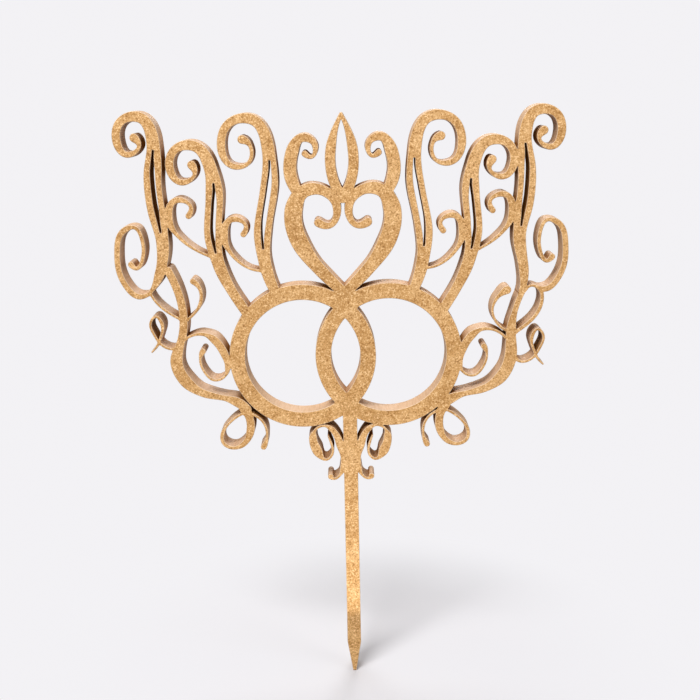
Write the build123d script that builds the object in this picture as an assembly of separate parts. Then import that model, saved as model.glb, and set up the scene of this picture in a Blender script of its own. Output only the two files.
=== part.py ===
# Scrollwork cake topper: pieces of painted board, halved and coped together into one flat upright panel.
#
# The origin is on the stake's axis, level with the top of the cake and half way through the board.
# +Z is up, +X is to the right as seen from the front, and the front face looks along -Y.

from build123d import *

import os
from itertools import accumulate
from math import cos, dist, radians, sin, sqrt

# Driving dimensions, in millimetres and degrees
BOARD = 8.0  # thickness of the board that every piece is cut from

RING_RADIUS = 24.3  # outer radius of each ring
RING_BAND = 5.2  # width of a ring's band
RING_SPACING = 28.5  # distance between the two ring centres
RING_HEIGHT = 71.0  # height of the ring centres above the cake
RING_SHIFT = -1.0  # where the rings cross, measured from the stake's axis

STAKE_WIDTH = 4.8
STAKE_DEPTH = 44.0  # length that goes into the cake
STAKE_POINT = 11.0  # length of the tapered end
STAKE_TIP = 1.2  # width left at the very end

# Pen widths of the scrollwork
TIP = 0.6
HAIR = 0.9
FINE = 1.3
BALL = 2.0
MID = 2.8
FIRM = 3.4
BOLD = 4.2
STEM = 5.8
SLIT = 1.6  # the slits that pierce the crest's stems

# Where the scrolls leave a ring, as angles on its rim above its outward side
VINE_ANGLE = -25.0
MIDDLE_ANGLE = 40.0
TALL_ANGLE = 69.0

# The right vine lies closer to its ring than the left one, and its tendril leaves it lower
RIGHT_INSET = 1.5
TENDRIL_DROP = 6.6
TENDRIL_REACH = 2.9

# Routes of the pen: stations of (outward, upward, pen width) from where the scroll starts
FOOT_SCROLL = [
    (6.9, -17.9, BALL), (5.6, -18.7, HAIR), (4.1, -17.8, HAIR), (2.7, -14.8, BALL), (2.5, -10.8, BALL),
    (3.4, -6.8, MID), (5.8, -1.5, BALL), (8.8, 0.2, HAIR), (11.5, -0.9, HAIR), (12.6, -4.0, MID),
    (11.4, -8.4, FIRM), (8.2, -11.8, HAIR), (6.3, -10.0, HAIR), (6.4, -6.4, HAIR), (7.4, -3.6, TIP),
]
VINE_FOOT = [
    (19.9, 9.4, BOLD), (17.3, 2.7, BOLD), (11.4, -1.7, MID), (4.9, -3.4, BALL), (0.0, -5.2, FIRM),
    (-2.6, -7.5, FIRM),
]
LEFT_VINE = [(21.0, 39.8, MID), (17.9, 32.0, MID), (16.8, 24.6, MID), (17.9, 16.5, MID), *VINE_FOOT]
RIGHT_VINE = [(23.2, 30.3, BALL), (21.2, 24.9, BALL), (19.9, 17.0, FIRM), *VINE_FOOT]
VINE_LOOP = [
    (-1.8, -7.0, FIRM), (-3.6, -10.9, MID), (-3.7, -14.9, MID), (-1.8, -19.1, BALL), (2.3, -21.0, FINE),
    (5.6, -19.2, FINE), (5.8, -15.9, FINE), (3.7, -12.6, HAIR), (0.4, -9.9, HAIR), (-1.6, -8.9, HAIR),
]
VINE_TAIL = [
    (-2.8, -8.3, HAIR), (-5.2, -9.6, HAIR), (-7.3, -11.2, HAIR), (-8.8, -13.7, HAIR), (-9.2, -16.9, HAIR),
    (-7.9, -20.9, BALL),
]
RING_SCROLL = [
    (18.0, 15.6, HAIR), (14.6, 18.0, HAIR), (10.6, 18.5, FINE), (6.8, 16.3, MID), (4.2, 12.4, MID),
    (3.0, 7.6, BALL), (4.3, 3.9, HAIR), (7.8, 2.8, HAIR), (10.7, 5.5, HAIR), (12.0, 9.8, HAIR),
    (11.0, 12.7, BALL),
]
TENDRIL = [
    (18.3, 15.6, FINE), (21.3, 13.7, HAIR), (24.3, 15.0, HAIR), (26.9, 18.9, HAIR), (27.7, 22.7, HAIR),
    (25.9, 24.7, HAIR), (24.0, 22.3, FINE), (24.5, 18.1, HAIR), (25.9, 15.0, HAIR), (27.8, 12.8, TIP),
]
LEFT_LEAF_CURL = [
    (17.2, 22.4, HAIR), (13.3, 25.4, HAIR), (11.0, 28.9, FINE), (10.7, 32.9, FINE), (13.1, 36.2, BALL),
]
RIGHT_LEAF_CURL = [
    (18.4, 17.9, HAIR), (14.8, 21.1, HAIR), (13.7, 25.2, HAIR), (15.3, 29.0, FINE), (18.4, 31.4, MID),
]
STRAND = [(17.4, 23.4, HAIR), (21.8, 26.1, HAIR), (25.5, 29.6, HAIR), (27.5, 33.6, HAIR)]
TOP_LOOP = [
    (21.6, 26.9, BALL), (23.8, 30.8, FINE), (26.4, 32.7, HAIR), (29.0, 31.6, FINE), (29.9, 27.9, FINE),
    (27.8, 22.7, FINE), (23.9, 19.0, FINE), (19.8, 16.2, FINE),
]
OUTER_CURL = [
    (25.0, 34.9, FINE), (27.7, 32.2, FINE), (31.3, 31.6, BALL), (34.8, 34.8, BALL), (36.9, 39.9, BALL),
    (37.1, 46.3, BALL), (34.6, 53.1, BALL), (31.0, 54.1, FINE), (28.7, 49.6, FINE), (28.8, 44.7, FINE),
    (31.0, 40.8, FINE), (32.9, 42.1, BALL),
]
OUTER_SCROLL = [
    (23.6, 39.3, FIRM), (22.2, 48.3, BOLD), (23.6, 59.3, STEM), (24.2, 70.3, STEM), (23.4, 80.3, BOLD),
    (27.0, 88.7, FIRM), (32.6, 88.1, MID), (35.0, 82.3, MID), (32.0, 77.3, BALL), (28.2, 79.1, FINE),
    (29.4, 82.5, MID),
]
LEFT_OUTER_SCROLL = [(27.4, 32.5, FINE), *OUTER_SCROLL]
RIGHT_OUTER_SCROLL = [(22.7, 29.0, BALL), *OUTER_SCROLL]
OUTER_SLIT = [(22.7, 52.5, TIP), (23.8, 61.9, SLIT), (24.2, 70.5, SLIT), (23.6, 78.3, TIP)]
MIDDLE_SCROLL = [
    (-1.4, -1.6, FIRM), (3.4, 6.0, FIRM), (7.6, 15.2, BOLD), (9.2, 26.0, STEM), (8.2, 37.0, STEM),
    (9.0, 46.4, BOLD), (13.6, 53.6, FIRM), (19.6, 53.0, MID), (22.0, 47.2, MID), (18.8, 42.4, BALL),
    (14.6, 44.0, FINE), (15.0, 47.8, MID),
]
MIDDLE_SLIT = [(8.6, 19.6, TIP), (9.2, 27.0, SLIT), (8.5, 34.6, SLIT), (8.3, 41.6, TIP)]
MIDDLE_CURL = [
    (4.2, 43.3, HAIR), (10.6, 45.9, HAIR), (16.4, 50.3, FINE), (19.8, 56.9, MID), (17.4, 62.5, BALL),
    (13.0, 61.3, FINE), (13.4, 57.5, BALL),
]
TALL_SCROLL = [
    (-1.3, -2.4, FIRM), (2.6, 8.5, BOLD), (3.0, 19.5, STEM), (0.8, 31.0, STEM), (0.2, 43.5, BOLD),
    (4.8, 54.4, FIRM), (12.0, 53.8, MID), (15.2, 47.0, MID), (12.4, 40.4, BALL), (7.0, 40.8, FINE),
    (5.8, 45.8, FINE), (8.6, 48.4, MID),
]
TALL_SLIT = [(3.1, 13.6, TIP), (2.4, 23.6, SLIT), (0.7, 32.6, SLIT), (0.1, 41.4, TIP)]
TALL_CURL = [
    (-7.4, 13.4, HAIR), (-1.8, 14.4, HAIR), (3.0, 18.4, FINE), (5.7, 25.2, MID), (3.2, 30.2, BALL),
    (-1.0, 29.0, FINE), (-0.6, 25.4, BALL),
]
HEART_LOBE = [
    (-1.0, 0.2, FIRM), (7.4, 8.8, BOLD), (14.2, 18.6, STEM), (16.0, 27.8, STEM), (12.2, 34.8, BOLD),
    (6.0, 34.8, FIRM), (2.0, 30.0, MID), (3.4, 24.2, BALL), (8.0, 24.6, MID),
]
SHOULDER_SCROLL = [
    (13.4, 33.4, FIRM), (16.4, 39.4, BOLD), (16.0, 46.4, BOLD), (12.4, 51.6, MID), (8.6, 49.6, BALL),
    (9.2, 45.8, FINE), (11.8, 46.6, BALL),
]
BUD_SIDE = [(0.0, 32.4, FIRM), (3.2, 39.4, FIRM), (3.6, 47.0, FIRM), (0.0, 58.6, FINE)]

LEFT, RIGHT = -1, 1
WORDS = {LEFT: "left", RIGHT: "right"}
ARCS = 3  # arcs that make up each edge of a stroke from one station to the next


# Starts of the scrolls: (outward, height) from the line where the rings cross
def rim(angle):
    """The point of a ring's rim at an angle above its outward side."""
    outward = RING_SPACING / 2 + RING_RADIUS * cos(radians(angle))
    return outward, RING_HEIGHT + RING_RADIUS * sin(radians(angle))


CROSSING_RISE = sqrt(RING_RADIUS**2 - (RING_SPACING / 2) ** 2)
UPPER_CROSSING = (0.0, RING_HEIGHT + CROSSING_RISE)
LOWER_CROSSING = (0.0, RING_HEIGHT - CROSSING_RISE)
LOWEST_RIM = (0.0, RING_HEIGHT - RING_RADIUS)


def vine_start(side):
    """The start of a side's vine."""
    outward, height = rim(VINE_ANGLE)
    if side == RIGHT:
        return outward - RIGHT_INSET, height
    return outward, height


def tendril_start(side):
    """The start that a side's tendril is plotted from."""
    outward, height = vine_start(side)
    if side == RIGHT:
        return outward + TENDRIL_REACH, height - TENDRIL_DROP
    return outward, height


# Flat shapes, drawn with x to the right and y up
def edge_points(stations):
    """Both edges of a pen stroke through (x, y, width) stations, with its middle and half-width ahead."""
    chords = [0.0, *accumulate(dist(a[:2], b[:2]) for a, b in zip(stations, stations[1:]))]
    middle = Edge.make_spline([Vector(x, y) for x, y, _ in stations], parameters=chords)
    last = len(stations) - 1
    steps = 2 * ARCS
    points = []
    for step in range(last * steps + 1):
        leg = min(step // steps, last - 1)
        share = step / steps - leg
        along = (chords[leg] + share * (chords[leg + 1] - chords[leg])) / chords[-1]
        swell = share**2 * (3 - 2 * share)
        half = (stations[leg][2] * (1 - swell) + stations[leg + 1][2] * swell) / 2
        place = middle.position_at(along)
        ahead = middle.tangent_at(along) * half
        across = Vector(-ahead.Y, ahead.X)
        points.append((place + across, place - across, place, ahead))
    return points


def arcs(points):
    """A chain of arcs, each through three neighbouring points."""
    return [ThreePointArc(*trio) for trio in zip(points[:-2:2], points[1:-1:2], points[2::2])]


def stroke_part(points, round_start, round_end):
    """The face between the two edges of a stretch of a stroke, each end round or straight."""
    (left_a, right_a, place_a, ahead_a), (left_b, right_b, place_b, ahead_b) = points[0], points[-1]
    left_edge = arcs([left for left, _, _, _ in points])
    right_edge = arcs([right for _, right, _, _ in reversed(points)])
    start = ThreePointArc(right_a, place_a - ahead_a, left_a) if round_start else Line(right_a, left_a)
    end = ThreePointArc(left_b, place_b + ahead_b, right_b) if round_end else Line(left_b, right_b)
    return make_face([*left_edge, end, *right_edge, start])


def stroke(route, start, side, axis=RING_SHIFT, crosses_itself=False):
    """A round-ended pen stroke along a route, to the left or right of an upright axis."""
    outward, height = start
    stations = [(axis + side * (outward + out), height + up, pen) for out, up, pen in route]
    points = edge_points(stations)
    if not crosses_itself:
        return stroke_part(points, True, True)
    half = 2 * ARCS * (len(stations) // 2)
    return stroke_part(points[: half + 1], True, False) + stroke_part(points[half:], False, True)


def ring(side):
    """The band of one ring."""
    band = Circle(RING_RADIUS) - Circle(RING_RADIUS - RING_BAND)
    return Pos(RING_SHIFT + side * RING_SPACING / 2, RING_HEIGHT) * band


def stake():
    """The straight stake, from the rings' lower crossing down to its tapered end."""
    top = LOWER_CROSSING[1] + RING_BAND / 2
    shoulder = STAKE_POINT - STAKE_DEPTH
    right = [(STAKE_WIDTH / 2, top), (STAKE_WIDTH / 2, shoulder), (STAKE_TIP / 2, -STAKE_DEPTH)]
    left = [(-x, y) for x, y in reversed(right)]
    return make_face(Polyline(*right, *left, close=True))


def foot_scrolls():
    """The pair of scrolls that brace the stake under the rings."""
    for side in WORDS:
        yield f"{WORDS[side]}_foot_scroll", stroke(FOOT_SCROLL, LOWEST_RIM, side, axis=0.0)


def vine(side):
    """The vine beside a ring, with the scroll that ties it there, its lower loop, tail and tendril."""
    start, word = vine_start(side), WORDS[side]
    yield f"{word}_vine", stroke(LEFT_VINE if side == LEFT else RIGHT_VINE, start, side)
    yield f"{word}_ring_scroll", stroke(RING_SCROLL, start, side)
    yield f"{word}_vine_loop", stroke(VINE_LOOP, start, side, crosses_itself=True)
    yield f"{word}_vine_tail", stroke(VINE_TAIL, start, side)
    yield f"{word}_tendril", stroke(TENDRIL, tendril_start(side), side, crosses_itself=True)


def vine_tops():
    """What grows from the top of each vine: the outer scrolls and curls, and small pieces beside them."""
    left, right = vine_start(LEFT), vine_start(RIGHT)
    yield "left_outer_scroll", stroke(LEFT_OUTER_SCROLL, left, LEFT) - stroke(OUTER_SLIT, left, LEFT)
    yield "right_outer_scroll", stroke(RIGHT_OUTER_SCROLL, right, RIGHT) - stroke(OUTER_SLIT, right, RIGHT)
    yield "right_top_loop", stroke(TOP_LOOP, right, RIGHT)
    yield "left_strand", stroke(STRAND, left, LEFT)
    yield "left_leaf_curl", stroke(LEFT_LEAF_CURL, left, LEFT)
    yield "right_leaf_curl", stroke(RIGHT_LEAF_CURL, right, RIGHT)
    for side in WORDS:
        yield f"{WORDS[side]}_outer_curl", stroke(OUTER_CURL, vine_start(side), side)


def crest(side):
    """The pierced scrolls that stand on a ring, curls that lean on the next stem, and half the heart."""
    tall, middle, outer, word = rim(TALL_ANGLE), rim(MIDDLE_ANGLE), vine_start(side), WORDS[side]
    yield f"{word}_tall_scroll", stroke(TALL_SCROLL, tall, side) - stroke(TALL_SLIT, tall, side)
    yield f"{word}_middle_scroll", stroke(MIDDLE_SCROLL, middle, side) - stroke(MIDDLE_SLIT, middle, side)
    yield f"{word}_tall_curl", stroke(TALL_CURL, middle, side)
    yield f"{word}_middle_curl", stroke(MIDDLE_CURL, outer, side)
    yield f"{word}_heart_lobe", stroke(HEART_LOBE, UPPER_CROSSING, side)
    yield f"{word}_shoulder_scroll", stroke(SHOULDER_SCROLL, UPPER_CROSSING, side)


def bud():
    """The open bud that stands in the cleft of the heart."""
    return stroke(BUD_SIDE, UPPER_CROSSING, LEFT) + stroke(BUD_SIDE, UPPER_CROSSING, RIGHT)


def cope(face, laid):
    """Cuts a face back to the pieces already laid, and keeps the largest part of it."""
    return max((face - list(laid)).faces(), key=lambda part: part.area)


def slab(face, front=-BOARD / 2, back=BOARD / 2):
    """A flat shape stood upright, with its thickness from a front depth to a back one."""
    return extrude(Plane.XZ.offset(-back) * face, amount=back - front)


def halved_rings():
    """Both rings, halved into each other: the right one passes in front above, the left one below."""
    left, right = ring(LEFT), ring(RIGHT)
    lower, upper = sorted((left & right).faces(), key=lambda lap: lap.center().Y)
    left_ring = slab(left) - slab(upper, back=0.0) - slab(lower, front=0.0)
    right_ring = slab(right) - slab(upper, front=0.0) - slab(lower, back=0.0)
    return left_ring, right_ring


def main():
    """Lays out every piece, gives it its thickness and writes it to a STEP file of its own."""
    laid = {"left_ring": ring(LEFT), "right_ring": ring(RIGHT)}
    sides = [*vine(LEFT), *vine(RIGHT), *vine_tops(), *crest(LEFT), *crest(RIGHT)]
    drawn = [("stake", stake()), *foot_scrolls(), *sides, ("bud", bud())]
    for name, face in drawn:
        laid[name] = cope(face, laid.values())

    solids = {name: slab(face) for name, face in laid.items()}
    solids["left_ring"], solids["right_ring"] = halved_rings()
    os.makedirs("parts", exist_ok=True)
    for name, solid in solids.items():
        export_step(solid, f"parts/{name}.step")


if __name__ == "__main__":
    main()
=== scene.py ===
"""Looks of the scrollwork cake topper: eased edges, gold paint, a pale studio and the camera."""

import logging
from collections.abc import Iterator
from dataclasses import dataclass, field
from enum import Enum
from math import cos, radians, sin

import bpy
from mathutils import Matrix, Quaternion, Vector
from mathutils.bvhtree import BVHTree


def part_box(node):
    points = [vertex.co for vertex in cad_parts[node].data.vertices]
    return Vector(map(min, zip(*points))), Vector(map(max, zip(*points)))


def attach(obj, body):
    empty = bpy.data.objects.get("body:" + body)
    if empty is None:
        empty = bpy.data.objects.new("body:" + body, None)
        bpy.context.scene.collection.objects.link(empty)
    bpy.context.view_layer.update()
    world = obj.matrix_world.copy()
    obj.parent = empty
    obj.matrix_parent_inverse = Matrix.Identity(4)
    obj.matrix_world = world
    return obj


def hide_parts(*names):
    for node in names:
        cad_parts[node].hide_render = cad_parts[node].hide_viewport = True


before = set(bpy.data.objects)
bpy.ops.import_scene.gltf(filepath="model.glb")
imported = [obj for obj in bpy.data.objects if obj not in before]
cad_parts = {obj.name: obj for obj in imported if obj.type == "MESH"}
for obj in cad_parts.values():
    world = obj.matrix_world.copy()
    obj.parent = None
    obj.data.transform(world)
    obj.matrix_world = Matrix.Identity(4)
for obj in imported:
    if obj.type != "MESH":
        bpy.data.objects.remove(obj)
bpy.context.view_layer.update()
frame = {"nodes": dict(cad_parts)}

MM = 0.001  # metres in a millimetre
PHOTO_WIDTH = 700  # pixels
ROOT = "root"
OPENNESS = "openness"  # the attribute that says how open a wall is; closed-in walls get painted shade
MIDDLE = 0.5  # of a pattern's values, which run from 0 to 1

Color = tuple[float, float, float, float]
Place = tuple[float, float, float]
Span = tuple[float, float]
log = logging.getLogger("cake_topper")


class Side(Enum):
    """The two sides of the topper, seen from the front."""

    LEFT = "left"
    RIGHT = "right"


class Wire:
    """An output of a node. Arithmetic on it adds Math nodes."""

    def __init__(self, bench: "Bench", socket: bpy.types.NodeSocket) -> None:
        """Keeps the socket and the bench that new nodes go to."""
        self.bench = bench
        self.socket = socket

    def _math(self, operation: str, *operands: "Wire | float") -> "Wire":
        """Adds a Math node.

        Args:
            operation: the Math node's operation.
            operands: its inputs, in order.

        Returns:
            The node's value.
        """
        sockets = dict(enumerate(operands))
        return self.bench.add("ShaderNodeMath", {"operation": operation}, sockets)["Value"]

    def __add__(self, other: "Wire | float") -> "Wire":
        """self + other."""
        return self._math("ADD", self, other)

    __radd__ = __add__

    def __sub__(self, other: "Wire | float") -> "Wire":
        """self - other."""
        return self._math("SUBTRACT", self, other)

    def __rsub__(self, other: float) -> "Wire":
        """other - self."""
        return self._math("SUBTRACT", other, self)

    def __mul__(self, other: "Wire | float") -> "Wire":
        """self * other."""
        return self._math("MULTIPLY", self, other)

    __rmul__ = __mul__

    def __abs__(self) -> "Wire":
        """The size of self without its sign."""
        return self._math("ABSOLUTE", self)

    def __or__(self, other: "Wire") -> "Wire":
        """The larger of self and other."""
        return self._math("MAXIMUM", self, other)

    def ramp(self, low: float, high: float, start: float = 0.0, end: float = 1.0) -> "Wire":
        """A smooth step.

        Args:
            low: the value at which the step starts.
            high: the value at which it ends.
            start: the result up to low.
            end: the result from high on.

        Returns:
            The stepped value.
        """
        settings = {"interpolation_type": "SMOOTHSTEP"}
        sockets = {"Value": self, "From Min": low, "From Max": high, "To Min": start, "To Max": end}
        return self.bench.add("ShaderNodeMapRange", settings, sockets)["Result"]


class Outputs:
    """The outputs of one node, by name or number."""

    def __init__(self, bench: "Bench", node: bpy.types.Node) -> None:
        """Keeps the node and its bench."""
        self.bench = bench
        self.node = node

    def __getitem__(self, key: str | int) -> Wire:
        """One output as a wire."""
        return Wire(self.bench, self.node.outputs[key])


class Bench:
    """A node tree that nodes are added to."""

    def __init__(self, tree: bpy.types.NodeTree) -> None:
        """Clears the tree."""
        self.tree = tree
        tree.nodes.clear()

    def add(self, kind: str, settings: dict | None = None, sockets: dict | None = None) -> Outputs:
        """Adds a node.

        Args:
            kind: the node's type.
            settings: its properties, set first.
            sockets: values or wires of its inputs, by name or number.

        Returns:
            The node's outputs.
        """
        node = self.tree.nodes.new(kind)
        for name, value in (settings or {}).items():
            setattr(node, name, value)
        for key, value in (sockets or {}).items():
            if isinstance(value, Wire):
                self.tree.links.new(value.socket, node.inputs[key])
            else:
                node.inputs[key].default_value = value
        return Outputs(self, node)

    def blend(self, share: Wire, first: "Wire | Color", second: "Wire | Color") -> Wire:
        """Mixes two colours.

        Args:
            share: how much of the second colour shows.
            first: the colour at a share of 0.
            second: the colour at a share of 1.

        Returns:
            The mixed colour.
        """
        settings = {"data_type": "RGBA", "clamp_factor": True}
        return self.add("ShaderNodeMix", settings, {0: share, 6: first, 7: second})[2]

    def noise(self, place: Wire, grain: float, detail: float = 2.0) -> Wire:
        """Cloudy noise.

        Args:
            place: the coordinates.
            grain: the size of its blots in metres.
            detail: how many finer layers it has.

        Returns:
            A value about one half.
        """
        sockets = {"Vector": place, "Scale": 1 / grain, "Detail": detail}
        return self.add("ShaderNodeTexNoise", {}, sockets)["Fac"]

    def cells(self, place: Wire, grain: float) -> Wire:
        """Flat flakes that each have a random value.

        Args:
            place: the coordinates.
            grain: the size of a flake in metres.

        Returns:
            A value from 0 to 1, the same all over a flake.
        """
        color = self.add("ShaderNodeTexVoronoi", {}, {"Vector": place, "Scale": 1 / grain})["Color"]
        return self.add("ShaderNodeSeparateColor", {}, {"Color": color})["Red"]

    def seen(self) -> tuple[Wire, Wire]:
        """1 for a ray straight from the camera, and 1 for a ray by gloss or glass."""
        path = self.add("ShaderNodeLightPath")
        return path["Is Camera Ray"], path["Is Glossy Ray"] | path["Is Transmission Ray"]


@dataclass(frozen=True)
class GoldPaint:
    """Metallic gold paint on cut board: flecked on the faces, smooth on the walls, with painted shade on the
    walls of narrow slits and a painted highlight on eased edges.
    """

    gold: Color = (0.66, 0.365, 0.135, 1.0)
    fleck: Color = (0.96, 0.64, 0.33, 1.0)
    pit: Color = (0.38, 0.18, 0.055, 1.0)
    wall: Color = (0.63, 0.42, 0.265, 1.0)
    streak: Color = (0.53, 0.325, 0.18, 1.0)
    # Painted shade: the dark brown that walls with little room in front of them, in narrow slits, are
    # darkened to.
    slit_shade: Color = (0.26, 0.105, 0.024, 1.0)
    # Painted highlight: the pale colour that eased edges are blended towards, where they would catch the
    # light.
    rim_highlight: Color = (1.0, 0.82, 0.60, 1.0)
    rim_highlight_share: float = 0.4
    edge_turn: Span = (0.12, 0.4)  # how much a surface looks to the front or back where an eased edge starts
    face_turn: Span = (0.86, 0.985)  # and where a face does
    fleck_size: float = 0.34 * MM
    fleck_depth: float = 0.5
    fleck_relief: float = 0.5
    speckle_size: float = 0.55 * MM
    speckle_depth: float = 1.5
    speckle_detail: float = 3.0
    mottle_size: float = 1.5 * MM
    mottle_depth: float = 0.5
    mottle_detail: float = 1.0
    shade_reach: float = 0.5  # a shade this far above 0 is all fleck, and this far below 0 all pit
    cloud_size: float = 7.0 * MM
    cloud_detail: float = 4.0
    bright_cloud: Span = (0.4, 0.72)
    bright_share: float = 0.27
    dull_cloud: Span = (0.54, 0.28)
    dull_share: float = 0.33
    streak_size: float = 0.5 * MM
    streak_stretch: float = 0.08
    streak_turn: Span = (0.35, 0.7)
    streak_share: float = 0.6
    streak_relief: float = 0.4
    openness: Span = (0.3, 0.95)  # the openness at which a wall turns from painted shade to its own paint
    relief: float = 0.03 * MM
    relief_strength: float = 0.35
    metallic: float = 0.12
    fleck_metallic: float = 0.4
    sheen_turn: Span = (0.3, 0.7)
    sheen_roughness: Span = (0.42, 0.54)
    pit_roughness: float = 0.12  # on top of the sheen's
    wall_roughness: float = 0.85
    shine: float = 0.0
    coat: float = 0.15
    wall_coat: float = 0.12
    coat_roughness: float = 0.35

    def material(self) -> bpy.types.Material:
        """Builds the paint.

        Returns:
            The material.
        """
        made = bpy.data.materials.new("gold_paint")
        made.use_nodes = True
        bench = Bench(made.node_tree)
        where = bench.add("ShaderNodeTexCoord")
        place = where["Object"]
        turned = bench.add("ShaderNodeSeparateXYZ", {}, {"Vector": where["Normal"]})
        flat = abs(turned["Y"])
        face = flat.ramp(*self.face_turn)
        edge = flat.ramp(*self.edge_turn) * (1 - face)

        flecks = bench.cells(place, self.fleck_size)
        speckle = bench.noise(place, self.speckle_size, self.speckle_detail)
        mottle = bench.noise(place, self.mottle_size, self.mottle_detail)
        cloud = bench.noise(place, self.cloud_size, self.cloud_detail)
        stretch = {"Vector": place, "Scale": (1.0, self.streak_stretch, 1.0)}
        along = bench.add("ShaderNodeMapping", {"vector_type": "POINT"}, stretch)["Vector"]
        streaks = bench.noise(along, self.streak_size)

        shade = (flecks - MIDDLE) * self.fleck_depth + (speckle - MIDDLE) * self.speckle_depth
        shade = shade + (mottle - MIDDLE) * self.mottle_depth
        bright = shade.ramp(0.0, self.shade_reach)
        dull = shade.ramp(0.0, -self.shade_reach)
        tone = bench.blend(cloud.ramp(*self.bright_cloud) * self.bright_share, self.gold, self.fleck)
        tone = bench.blend(cloud.ramp(*self.dull_cloud) * self.dull_share, tone, self.pit)
        tone = bench.blend(bright, tone, self.fleck)
        tone = bench.blend(dull, tone, self.pit)
        sawn = bench.blend(streaks.ramp(*self.streak_turn) * self.streak_share, self.wall, self.streak)
        # Painted shade: walls with little room in front of them, in narrow slits, are darkened towards the
        # dark brown shade colour.
        unshaded = bench.add("ShaderNodeAttribute", {"attribute_name": OPENNESS})["Fac"].ramp(*self.openness)
        sawn = bench.blend(unshaded, self.slit_shade, sawn)
        # Painted highlight: eased edges are paled towards the pale rim colour.
        color = bench.blend(edge * self.rim_highlight_share, bench.blend(face, sawn, tone), self.rim_highlight)

        sheen = bench.noise(place, self.cloud_size).ramp(*self.sheen_turn, *self.sheen_roughness)
        rough = (sheen + dull * self.pit_roughness) * face + (1 - face) * self.wall_roughness
        height = (flecks * self.fleck_relief + speckle) * face + streaks * (1 - face) * self.streak_relief
        bump = {"Strength": self.relief_strength, "Distance": self.relief, "Height": height}
        sockets = {
            "Base Color": color,
            "Roughness": rough,
            "Metallic": (bright * (self.fleck_metallic - self.metallic) + self.metallic) * face,
            "Specular IOR Level": self.shine,
            "Coat Weight": (1 - face) * unshaded * self.wall_coat + face * self.coat,
            "Coat Roughness": self.coat_roughness,
            "Normal": bench.add("ShaderNodeBump", {}, bump)["Normal"],
        }
        paint = bench.add("ShaderNodeBsdfPrincipled", {}, sockets)["BSDF"]
        bench.add("ShaderNodeOutputMaterial", {}, {"Surface": paint})
        return made


@dataclass(frozen=True)
class Arris:
    """An edge between a flat face of the board and a wall."""

    ends: tuple[int, int]
    first: Vector
    last: Vector
    outward: Vector  # the direction that the wall looks in

    def along(self) -> Vector:
        """From the first end to the last."""
        return self.last - self.first

    def middle(self) -> Vector:
        """The point half way."""
        return (self.first + self.last) / 2


class GlueLines:
    """Tells where a piece is glued to another along its outline, and where it is narrow."""

    def __init__(self, nodes: dict[str, bpy.types.Object], gap: float = 0.06 * MM) -> None:
        """Keeps a search tree for each node.

        Args:
            nodes: the CAD nodes by name.
            gap: pieces closer than this touch.
        """
        self.gap = gap
        self.trees = {name: self._tree(node.data) for name, node in nodes.items()}

    @staticmethod
    def _tree(mesh: bpy.types.Mesh) -> BVHTree:
        """A search tree of a mesh's faces."""
        points = [vertex.co for vertex in mesh.vertices]
        return BVHTree.FromPolygons(points, [tuple(face.vertices) for face in mesh.polygons])

    def holds(self, name: str, point: Vector) -> bool:
        """Whether a point of a piece touches another piece.

        Args:
            name: the piece's node.
            point: the point.

        Returns:
            True if another node's surface is there.
        """
        others = (tree for other, tree in self.trees.items() if other != name)
        return any(tree.find_nearest(point, self.gap)[0] is not None for tree in others)

    def narrow(self, name: str, arris: Arris, width: float) -> bool:
        """Whether a piece is narrow behind an edge of its outline.

        Args:
            name: the piece's node.
            arris: the edge.
            width: the width up to which a piece is narrow.

        Returns:
            True if the opposite wall is closer than that.
        """
        middle = arris.middle()
        start = Vector((middle.x, middle.y / 2, middle.z)) - arris.outward * self.gap
        return self.trees[name].ray_cast(start, -arris.outward, width - self.gap)[0] is not None


class ShadeRoom:
    """Tells how much room there is in front of a wall, which sets how much painted shade it gets."""

    through: Place = (0.0, 1.0, 0.0)  # the direction through the board
    fan: range = range(-60, 61, 20)  # the degrees to each side in which the room is measured
    clear: float = 0.05 * MM  # how far in front of a wall that starts

    def __init__(self, nodes: dict[str, bpy.types.Object], reach: float = 6.0 * MM) -> None:
        """Keeps one search tree of all the nodes.

        Args:
            nodes: the CAD nodes by name.
            reach: a wall with this much room in front of it gets no painted shade.
        """
        self.reach = reach
        self.slants = [Quaternion(self.through, radians(turn)) for turn in self.fan]
        points: list[Vector] = []
        faces: list[list[int]] = []
        for node in nodes.values():
            start = len(points)
            points += [vertex.co for vertex in node.data.vertices]
            faces += [[start + number for number in face.vertices] for face in node.data.polygons]
        self.tree = BVHTree.FromPolygons(points, faces)

    def share(self, point: Vector, normal: Vector) -> float:
        """How open a point of a wall is, which sets its painted shade.

        Args:
            point: the point.
            normal: the direction that the wall looks in.

        Returns:
            From 0, closed in, to 1, open.
        """
        start = Vector((point.x, point.y / 2, point.z)) + normal * self.clear
        found = [self.tree.ray_cast(start, slant @ normal, self.reach)[3] for slant in self.slants]
        return sum(self.reach if room is None else room for room in found) / (self.reach * len(found))


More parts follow.
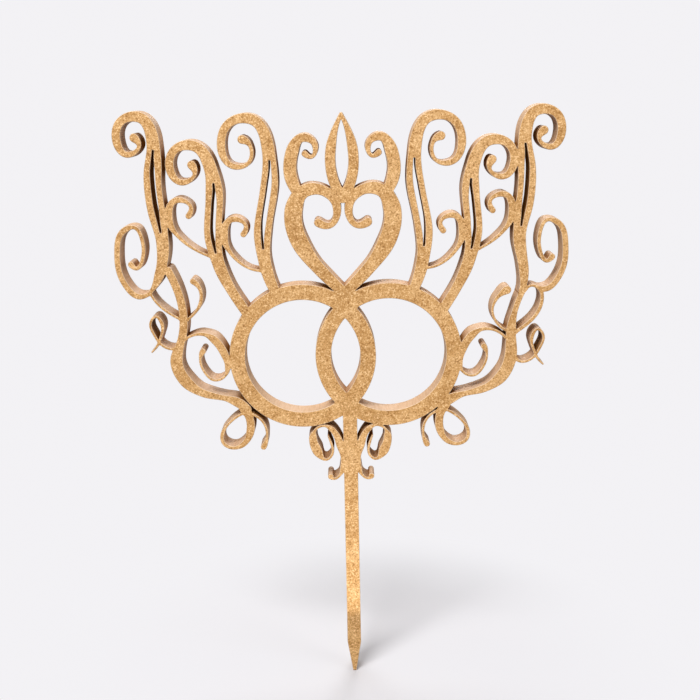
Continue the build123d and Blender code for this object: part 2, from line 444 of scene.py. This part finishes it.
@dataclass
class BoardWork:
    """Board pieces that are cut out, eased along their free edges and painted."""

    paint: bpy.types.Material
    glue: GlueLines
    room: ShadeRoom
    ease: float = 0.25 * MM  # how far the rounding of an edge reaches in
    ease_steps: int = 3
    ease_profile: float = 0.5  # round
    narrowest: float = 2.3  # a place narrower than so many roundings stays sharp
    corner_room: float = 1.5  # and so do edges closer to a corner than so many
    corner_angle: float = radians(45.0)
    longest_edge: float = 0.8 * MM  # so that an eased stretch ends close to where a glued one starts
    weld: float = 0.002 * MM  # points closer than this are one
    skin: float = 0.01 * MM  # points this close to the front or back are on it
    flatness: float = radians(0.05)
    flat_limit: float = 0.99  # a face that looks to the front or back by more than this is flat
    wall_limit: float = 0.3  # and one that does so by less than this is a wall
    smooth_angle: float = radians(40.0)

    def nodes(self) -> Iterator[str]:
        """The CAD nodes of this sub-assembly."""
        raise NotImplementedError

    def build(self) -> Iterator[bpy.types.Object]:
        """Makes every piece of the sub-assembly.

        Returns:
            The pieces, one by one.
        """
        for name in self.nodes():
            piece = self._cut(name)
            self._ease(piece, name)
            self._finish(piece)
            self._note_openness(piece)
            self._dress(piece, name)
            yield piece

    def _cut(self, name: str) -> bpy.types.Object:
        """Copies a node's loose triangles into a closed mesh with whole flat faces.

        Args:
            name: the node.

        Returns:
            The new piece.
        """
        mesh = frame["nodes"][name].data.copy()
        mesh.materials.clear()
        piece = bpy.data.objects.new(f"painted_{name}", mesh)
        bpy.context.scene.collection.objects.link(piece)
        bpy.ops.object.select_all(action="DESELECT")
        piece.select_set(True)
        bpy.context.view_layer.objects.active = piece
        bpy.ops.object.mode_set(mode="EDIT")
        bpy.ops.mesh.select_all(action="SELECT")
        bpy.ops.mesh.remove_doubles(threshold=self.weld)
        bpy.ops.mesh.customdata_custom_splitnormals_clear()
        bpy.ops.mesh.dissolve_limited(angle_limit=self.flatness)
        bpy.ops.object.mode_set(mode="OBJECT")
        return piece

    def _outline(self, piece: bpy.types.Object) -> dict[int, Arris]:
        """The edges between a flat face of the board and its walls, front and back.

        Args:
            piece: the piece.

        Returns:
            Each such edge, by its number.
        """
        mesh = piece.data
        points = [vertex.co.copy() for vertex in mesh.vertices]
        depth = max(abs(point.y) for point in points) - self.skin
        flats: set[tuple[int, int]] = set()
        walls: dict[tuple[int, int], Vector] = {}
        for face in mesh.polygons:
            if abs(face.normal.y) > self.flat_limit:
                flats.update(face.edge_keys)
            else:
                walls.update((key, face.normal.copy()) for key in face.edge_keys)
        found = {}
        for edge in mesh.edges:
            first, last = (points[number] for number in edge.vertices)
            if edge.key in flats and edge.key in walls and min(abs(first.y), abs(last.y)) > depth:
                found[edge.index] = Arris(tuple(edge.vertices), first, last, walls[edge.key])
        return found

    def _stops(self, outline: dict[int, Arris], name: str) -> set[int]:
        """The points of an outline that stay sharp: at glue, in narrow places and close to corners.

        Args:
            outline: the edges of the outline.
            name: the piece's node.

        Returns:
            The points' numbers.
        """
        slim = self.narrowest * self.ease
        stops: set[int] = set()
        places: dict[int, Vector] = {}
        ways: dict[int, list[Vector]] = {}
        for arris in outline.values():
            if self.glue.holds(name, arris.middle()) or self.glue.narrow(name, arris, slim):
                stops.update(arris.ends)
            along = arris.along().normalized()
            for point, place, way in zip(arris.ends, (arris.first, arris.last), (along, -along)):
                places[point] = place
                ways.setdefault(point, []).append(way)
        corners = [
            places[point] for point, found in ways.items()
            if len(found) != 2 or found[0].angle(-found[1]) > self.corner_angle
        ]
        reach = self.corner_room * self.ease
        stops.update(
            point for point, place in places.items()
            if any((place - corner).length < reach for corner in corners)
        )
        return stops

    def _select(self, piece: bpy.types.Object, chosen: list[int]) -> None:
        """Opens a piece in edit mode with only some edges selected.

        Args:
            piece: the piece.
            chosen: the numbers of those edges.
        """
        bpy.ops.object.mode_set(mode="EDIT")
        bpy.ops.mesh.select_mode(type="EDGE")
        bpy.ops.mesh.select_all(action="DESELECT")
        bpy.ops.object.mode_set(mode="OBJECT")
        for number in chosen:
            piece.data.edges[number].select = True
        bpy.ops.object.mode_set(mode="EDIT")

    def _halve(self, piece: bpy.types.Object, chosen: list[int]) -> None:
        """Adds a point in the middle of some edges.

        Args:
            piece: the piece.
            chosen: the numbers of those edges.
        """
        self._select(piece, chosen)
        bpy.ops.mesh.subdivide(number_cuts=1, ngon=True)
        bpy.ops.object.mode_set(mode="OBJECT")

    def _long(self, piece: bpy.types.Object) -> list[int]:
        """The edges of a piece's outline that are too long to follow the glue lines.

        Args:
            piece: the piece.

        Returns:
            The numbers of those edges.
        """
        outline = self._outline(piece).items()
        return [number for number, arris in outline if arris.along().length > self.longest_edge]

    def _ease(self, piece: bpy.types.Object, name: str) -> None:
        """Rounds the outline of a piece, except at glue, in narrow places and close to corners.

        Args:
            piece: the piece.
            name: its node.
        """
        while long := self._long(piece):
            self._halve(piece, long)
        outline = self._outline(piece)
        stops = self._stops(outline, name)
        # A rounding ends half way along an edge. Two edges halved at once could be joined across their face.
        for number, arris in outline.items():
            if len(stops.intersection(arris.ends)) == 1:
                self._halve(piece, [number])
        free = [number for number, arris in self._outline(piece).items() if stops.isdisjoint(arris.ends)]
        self._select(piece, free)
        bpy.ops.mesh.bevel(
            offset=self.ease, segments=self.ease_steps, profile=self.ease_profile, clamp_overlap=False,
        )
        bpy.ops.object.mode_set(mode="OBJECT")

    def _finish(self, piece: bpy.types.Object) -> None:
        """Smooths the shading of a piece and keeps its flat faces flat.

        Args:
            piece: the piece, which is the active object.
        """
        bpy.ops.object.shade_smooth_by_angle(angle=self.smooth_angle)
        weighted = piece.modifiers.new("weighted", "WEIGHTED_NORMAL")
        weighted.keep_sharp = True
        bpy.ops.object.modifier_apply(modifier=weighted.name)

    def _note_openness(self, piece: bpy.types.Object) -> None:
        """Notes on each point of a piece's walls how open it is, which sets its painted shade.

        Args:
            piece: the piece.
        """
        mesh = piece.data
        normals = [Vector() for _ in mesh.vertices]
        for face in mesh.polygons:
            if abs(face.normal.y) < self.wall_limit:
                for number in face.vertices:
                    normals[number] += face.normal
        openness = mesh.attributes.new(OPENNESS, "FLOAT", "POINT")
        for vertex, normal in zip(mesh.vertices, normals):
            level = Vector((normal.x, 0.0, normal.z))
            on_wall = level.length > 0.0
            share = self.room.share(vertex.co, level.normalized()) if on_wall else 1.0
            openness.data[vertex.index].value = share

    def _dress(self, piece: bpy.types.Object, name: str) -> None:
        """Paints a piece and puts it in its node's place.

        Args:
            piece: the piece.
            name: its node.
        """
        piece.data.materials.append(self.paint)
        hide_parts(name)
        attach(piece, ROOT)


@dataclass
class Rings(BoardWork):
    """The two rings, halved into each other."""

    def nodes(self) -> Iterator[str]:
        """Both rings."""
        yield from (f"{side.value}_ring" for side in Side)


@dataclass
class Foot(BoardWork):
    """The stake and the scrolls that brace it."""

    def nodes(self) -> Iterator[str]:
        """The stake, then a scroll on each side."""
        yield "stake"
        yield from (f"{side.value}_foot_scroll" for side in Side)


@dataclass
class Vine(BoardWork):
    """The vine beside one ring, with all that curls from it."""

    side: Side = Side.LEFT
    both: tuple[str, ...] = (
        "vine", "vine_loop", "vine_tail", "ring_scroll", "tendril", "leaf_curl", "outer_curl",
    )
    own: dict[Side, tuple[str, ...]] = field(
        default_factory=lambda: {Side.LEFT: ("strand",), Side.RIGHT: ("top_loop",)}
    )

    def nodes(self) -> Iterator[str]:
        """The pieces that both sides have, then those of this side alone."""
        yield from (f"{self.side.value}_{word}" for word in (*self.both, *self.own[self.side]))


@dataclass
class Crest(BoardWork):
    """One half of the crest above the rings."""

    side: Side = Side.LEFT
    words: tuple[str, ...] = (
        "outer_scroll", "middle_scroll", "middle_curl", "tall_scroll", "tall_curl", "heart_lobe",
        "shoulder_scroll",
    )

    def nodes(self) -> Iterator[str]:
        """The scrolls and curls of this half, and its lobe of the heart."""
        yield from (f"{self.side.value}_{word}" for word in self.words)


@dataclass
class Bud(BoardWork):
    """The open bud in the cleft of the heart."""

    def nodes(self) -> Iterator[str]:
        """The bud alone."""
        yield "bud"


@dataclass(frozen=True)
class Lamp:
    """A soft box that looks at the topper."""

    name: str
    place: Place
    size: float
    power: float  # watts


@dataclass
class Studio:
    """The pale studio: floor, soft boxes, world and camera."""

    backdrop: Color = (0.896, 0.885, 0.910, 1.0)
    floor_color: Color = (0.68, 0.67, 0.69, 1.0)
    floor_gap: float = 0.2 * MM  # below the tip of the stake
    floor_size: float = 6.0
    fade: Span = (30 * MM, 120 * MM)  # where the floor turns into the backdrop
    ambient: float = 0.19  # share of the backdrop's light that reaches the topper
    bounce: float = 0.4  # share of the floor's light that reaches it
    lamps: tuple[Lamp, ...] = (
        Lamp("key_box", (-0.40, -0.80, 1.15), 0.6, 19.2),
        Lamp("top_box", (-0.05, 0.36, 0.75), 0.45, 2.5),
        Lamp("front_box", (-0.15, -1.10, 0.12), 0.3, 0.9),
        Lamp("right_box", (0.85, -0.55, 0.25), 0.5, 2.3),
        Lamp("back_box", (0.15, 1.00, 0.50), 0.4, 3.5),
        Lamp("low_card", (0.0, -0.035, -0.012), 0.06, 0.012),
    )
    focal_px: float = 1083.0
    distance: float = 358.5 * MM
    pitch: float = radians(13.3)
    roll: float = radians(1.1)  # how far the camera leans to the right
    aim: Place = (0.43 * MM, -4.0 * MM, 73.0 * MM)
    sensor: float = 36.0  # millimetres, as the lens is
    near: float = 10 * MM  # closer than this the camera sees nothing

    def build(self) -> None:
        """Sets up the whole studio."""
        bpy.context.scene.view_settings.view_transform = "Standard"
        self._floor()
        self._world()
        for lamp in self.lamps:
            self._lamp(lamp)
        self._camera()

    def _floor(self) -> None:
        """A floor just under the stake that turns into the backdrop further off."""
        tip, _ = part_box("stake")
        bpy.ops.object.select_all(action="DESELECT")
        bpy.ops.mesh.primitive_plane_add(size=self.floor_size, location=(0.0, 0.0, tip.z - self.floor_gap))
        floor = bpy.context.active_object
        floor.name = "floor"
        bpy.ops.object.transform_apply(location=True)
        made = bpy.data.materials.new("pale_floor")
        made.use_nodes = True
        bench = Bench(made.node_tree)
        place = bench.add("ShaderNodeTexCoord")["Object"]
        flattened = {0: place, 1: (1.0, 1.0, 0.0)}
        level = bench.add("ShaderNodeVectorMath", {"operation": "MULTIPLY"}, flattened)["Vector"]
        away = bench.add("ShaderNodeVectorMath", {"operation": "LENGTH"}, {0: level})["Value"]
        straight, mirrored = bench.seen()
        color = bench.blend(straight, self._dim(self.floor_color, self.bounce), self.floor_color)
        paper = bench.add("ShaderNodeBsdfDiffuse", {}, {"Color": color})["BSDF"]
        glow = bench.add("ShaderNodeEmission", {}, {"Color": self.backdrop})["Emission"]
        share = away.ramp(*self.fade) * straight | mirrored
        mixed = bench.add("ShaderNodeMixShader", {}, {0: share, 1: paper, 2: glow})["Shader"]
        bench.add("ShaderNodeOutputMaterial", {}, {"Surface": mixed})
        floor.data.materials.append(made)

    def _world(self) -> None:
        """A backdrop that is pale to look at and lights the topper gently."""
        world = bpy.data.worlds.new("studio")
        bpy.context.scene.world = world
        world.use_nodes = True
        bench = Bench(world.node_tree)
        straight, mirrored = bench.seen()
        color = bench.blend(straight | mirrored, self._dim(self.backdrop, self.ambient), self.backdrop)
        sky = bench.add("ShaderNodeBackground", {}, {"Color": color})["Background"]
        bench.add("ShaderNodeOutputWorld", {}, {"Surface": sky})

    @staticmethod
    def _dim(color: Color, share: float) -> Color:
        """A darker form of a colour."""
        red, green, blue, alpha = color
        return share * red, share * green, share * blue, alpha

    def _lamp(self, lamp: Lamp) -> None:
        """Adds a square soft box.

        Args:
            lamp: its place, size and power.
        """
        light = bpy.data.lights.new(lamp.name, "AREA")
        light.shape = "SQUARE"
        light.size = lamp.size
        light.energy = lamp.power
        box = bpy.data.objects.new(lamp.name, light)
        bpy.context.scene.collection.objects.link(box)
        box.location = lamp.place
        box.rotation_mode = "QUATERNION"
        box.rotation_quaternion = (Vector(self.aim) - box.location).to_track_quat("-Z", "Y")
        box.visible_camera = False

    def _camera(self) -> None:
        """A camera that looks down on the topper from the front."""
        data = bpy.data.cameras.new("camera")
        data.sensor_width = self.sensor
        data.lens = self.focal_px / PHOTO_WIDTH * self.sensor
        data.clip_start = self.near
        camera = bpy.data.objects.new("camera", data)
        bpy.context.scene.collection.objects.link(camera)
        back = Vector((0.0, -cos(self.pitch), sin(self.pitch)))
        camera.location = Vector(self.aim) + back * self.distance
        camera.rotation_mode = "QUATERNION"
        lean = Quaternion((0.0, 0.0, 1.0), -self.roll)
        camera.rotation_quaternion = (-back).to_track_quat("-Z", "Y") @ lean
        bpy.context.scene.camera = camera


def main() -> None:
    """Builds the pieces in order, then the studio."""
    logging.basicConfig(level=logging.INFO, format="%(message)s")
    paint = GoldPaint().material()
    glue = GlueLines(frame["nodes"])
    room = ShadeRoom(frame["nodes"])
    works: list[BoardWork] = [Rings(paint, glue, room), Foot(paint, glue, room)]
    works += [Vine(paint, glue, room, side=side) for side in Side]
    works += [Crest(paint, glue, room, side=side) for side in Side]
    works.append(Bud(paint, glue, room))
    for work in works:
        for piece in work.build():
            log.info("%s: %s, %d faces", type(work).__name__, piece.name, len(piece.data.polygons))
    Studio().build()


if __name__ == "__main__":
    main()
